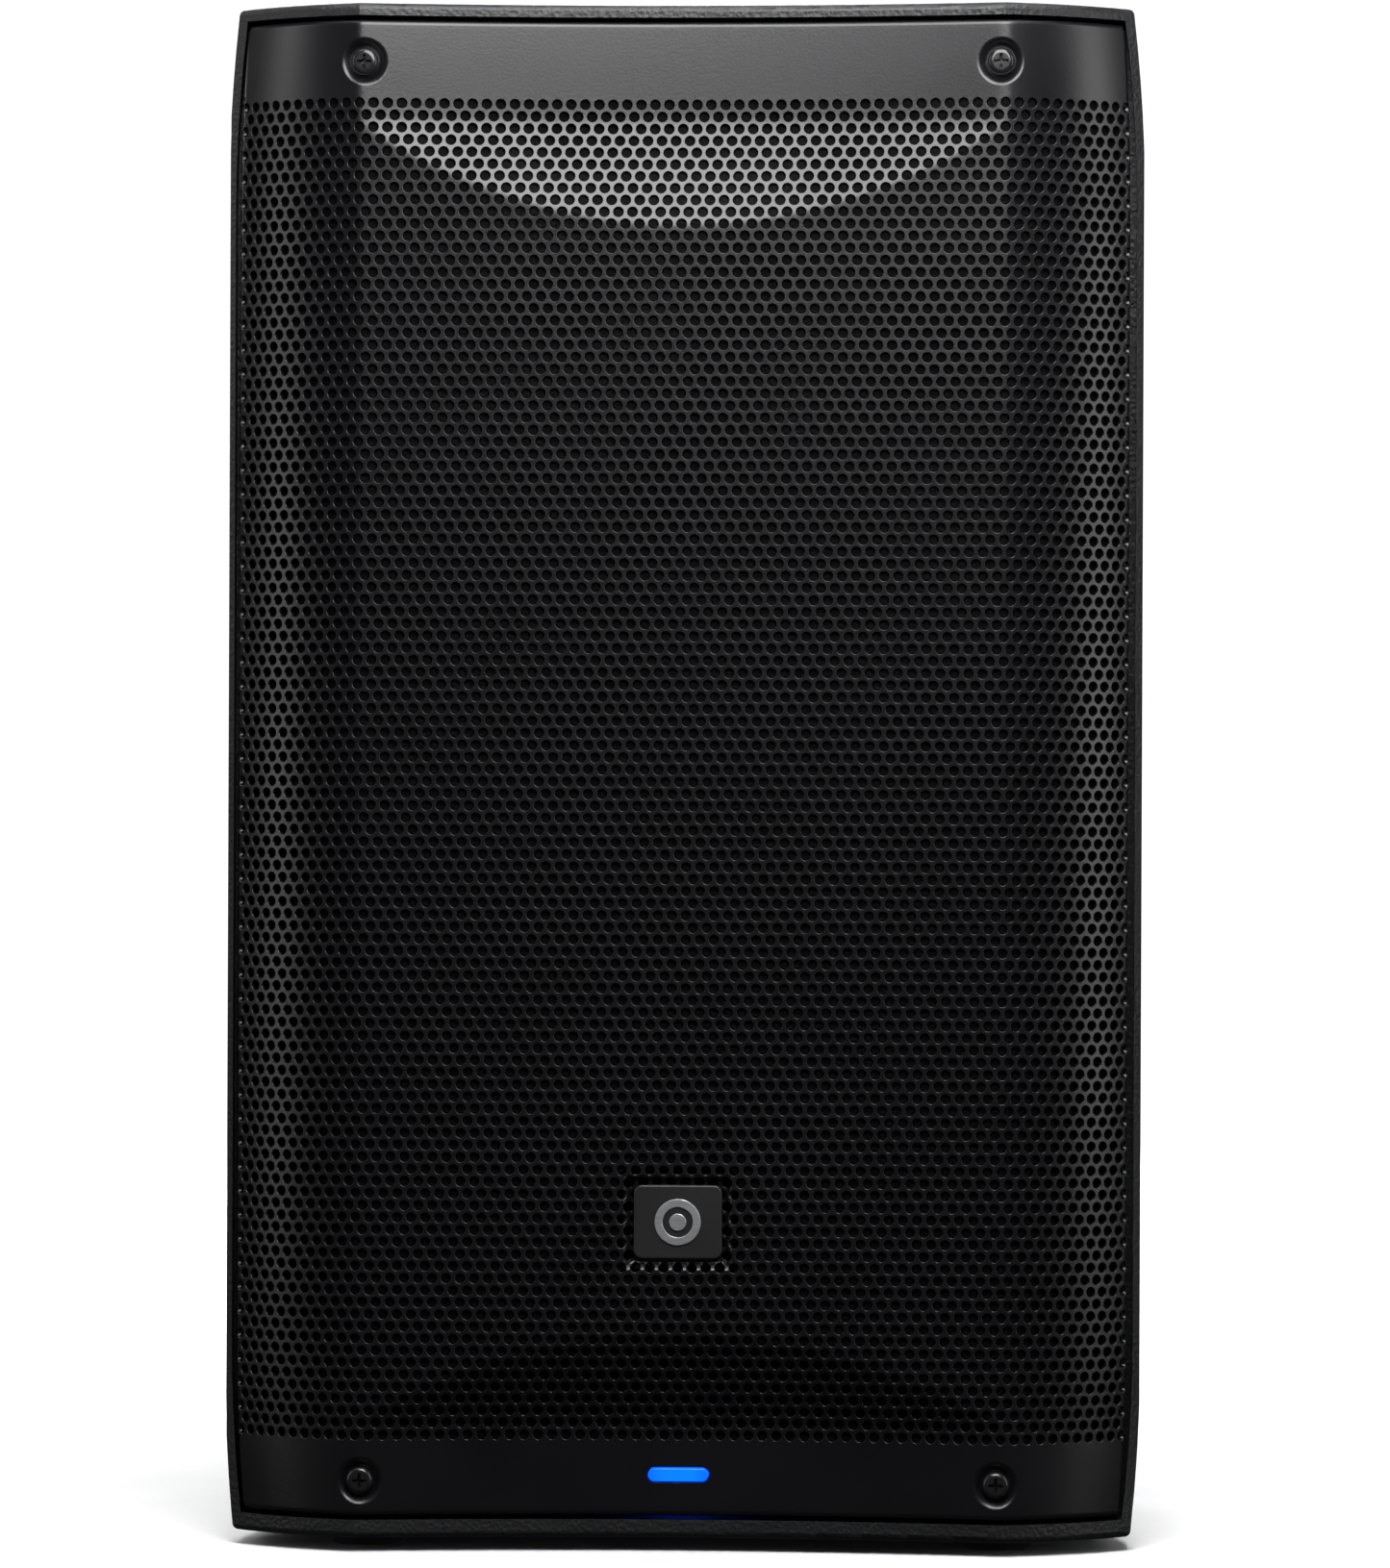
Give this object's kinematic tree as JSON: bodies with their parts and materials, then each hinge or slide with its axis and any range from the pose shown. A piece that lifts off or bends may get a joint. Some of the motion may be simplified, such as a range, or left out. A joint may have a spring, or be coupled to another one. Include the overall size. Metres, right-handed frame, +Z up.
{
  "type": "pa speaker cabinet",
  "caption": "Active PA loudspeaker cabinet: moulded shell, curved perforated steel grille with faceted bands, woofer, horn, rear control panel, top handle and pole socket.",
  "frame": {"origin": "on the floor, under the middle of the cabinet (bounding box bottom centre)", "axes": "+Z up, front grille faces -Y, +X to the right of a viewer in front"},
  "size_m": [0.3292, 0.3, 0.552],
  "materials": {
    "shell_plastic": "leather-grained moulded polypropylene, black",
    "grille_paint": "fine-textured black powder coat on steel",
    "foam": "open-cell black foam",
    "black_screw": "glossy black e-coat",
    "badge_plastic": "satin moulded black",
    "brushed_metal": "brushed, clear coated",
    "blue_light": "diffusing lit plastic",
    "board": "green solder mask",
    "cast_alloy": "black painted pressed steel",
    "rubber": "matt moulded rubber",
    "paper": "dyed pulp",
    "coated_cloth": "resin-dipped cloth",
    "copper": "enamelled copper winding on former",
    "zinc_steel": "zinc plated",
    "ferrite": "sintered ferrite, ground",
    "horn_plastic": "moulded ABS",
    "titanium": "formed thin titanium",
    "panel_paint": "fine black powder coat",
    "black_anodised": "black anodised extrusion",
    "gloss_black": "moulded nylon, semi-gloss",
    "knob_rubber": "soft-touch knob",
    "button_plastic": "moulded grey",
    "brass": "turned brass",
    "felt": "needled polyester",
    "wire": "PVC insulated"
  },
  "bodies": {
    "cabinet": {"amp_board": "board", "amp_panel": "panel_paint", "badge_emblem": "brushed_metal", "badge_plate": "badge_plastic", "baffle_screws": "black_screw", "combo_socket_1": "gloss_black", "combo_socket_2": "gloss_black", "damping_lining": "felt", "front_shell": "shell_plastic", "grille": "grille_paint", "grille_foam": "foam", "grille_screws": "black_screw", "handle": "shell_plastic", "handle_bolts": "black_screw", "heat_sink": "black_anodised", "hf_cover": "horn_plastic", "hf_magnet": "ferrite", "hf_phase_plug": "horn_plastic", "hf_surround": "coated_cloth", "hf_top_plate": "zinc_steel", "hf_yoke": "zinc_steel", "horn": "horn_plastic", "horn_screws": "black_screw", "mains_inlet": "gloss_black", "output_socket": "gloss_black", "panel_screws": "black_screw", "pole_socket": "gloss_black", "port_tube_left": "horn_plastic", "port_tube_right": "horn_plastic", "potentiometers": "zinc_steel", "power_transformer": "ferrite", "rear_shell": "shell_plastic", "rigging_inserts": "brass", "rigging_plugs": "black_screw", "rubber_feet": "rubber", "shell_gasket": "rubber", "status_board": "board", "status_window": "blue_light", "wiring": "wire", "woofer_basket": "cast_alloy", "woofer_gasket": "rubber", "woofer_magnet": "ferrite", "woofer_screws": "black_screw", "woofer_spider": "coated_cloth", "woofer_surround": "rubber", "woofer_top_plate": "zinc_steel", "woofer_yoke": "zinc_steel"},
    "woofer_motion": {"woofer_cone": "paper", "woofer_dust_cap": "paper", "woofer_voice_coil": "copper"},
    "hf_motion": {"hf_diaphragm": "titanium"},
    "gain_1": {"gain_knob_1": "knob_rubber"},
    "gain_2": {"gain_knob_2": "knob_rubber"},
    "main_level": {"main_knob": "knob_rubber"},
    "line_1": {"line_button_1": "button_plastic"},
    "line_2": {"line_button_2": "button_plastic"},
    "mode": {"mode_button": "button_plastic"},
    "rocker": {"power_rocker": "gloss_black"},
    "latch_1": {"combo_latch_1": "zinc_steel"},
    "latch_2": {"combo_latch_2": "zinc_steel"}
  },
  "joints": [
    {"name": "woofer_travel", "type": "slide", "parent": "cabinet", "child": "woofer_motion", "axis": [0, -1, 0], "range_m": [-0.006, 0.006], "stiffness_N_per_m": 2400, "deforming": ["woofer_surround", "woofer_spider"]},
    {"name": "hf_travel", "type": "slide", "parent": "cabinet", "child": "hf_motion", "axis": [0, -1, 0], "range_m": [-0.0003, 0.0003], "stiffness_N_per_m": 9000, "deforming": ["hf_surround"]},
    {"name": "gain_1_turn", "type": "hinge", "parent": "cabinet", "child": "gain_1", "pos_m": [0.062, 0.14, 0.345], "axis": [0, -1, 0], "range_deg": [0, 300]},
    {"name": "gain_2_turn", "type": "hinge", "parent": "cabinet", "child": "gain_2", "pos_m": [0.02, 0.14, 0.345], "axis": [0, -1, 0], "range_deg": [0, 300]},
    {"name": "main_turn", "type": "hinge", "parent": "cabinet", "child": "main_level", "pos_m": [-0.022, 0.14, 0.345], "axis": [0, -1, 0], "range_deg": [0, 300]},
    {"name": "line_1_press", "type": "slide", "parent": "cabinet", "child": "line_1", "axis": [0, -1, 0], "range_m": [0, 0.0015], "stiffness_N_per_m": 400},
    {"name": "line_2_press", "type": "slide", "parent": "cabinet", "child": "line_2", "axis": [0, -1, 0], "range_m": [0, 0.0015], "stiffness_N_per_m": 400},
    {"name": "mode_press", "type": "slide", "parent": "cabinet", "child": "mode", "axis": [0, -1, 0], "range_m": [0, 0.0015], "stiffness_N_per_m": 400},
    {"name": "rocker_tip", "type": "hinge", "parent": "cabinet", "child": "rocker", "pos_m": [-0.066, 0.126, 0.388], "axis": [0, 0, 1], "range_deg": [-14, 0]},
    {"name": "latch_1_press", "type": "slide", "parent": "cabinet", "child": "latch_1", "axis": [0, -1, 0], "range_m": [0, 0.002], "stiffness_N_per_m": 400},
    {"name": "latch_2_press", "type": "slide", "parent": "cabinet", "child": "latch_2", "axis": [0, -1, 0], "range_m": [0, 0.002], "stiffness_N_per_m": 400}
  ]
}
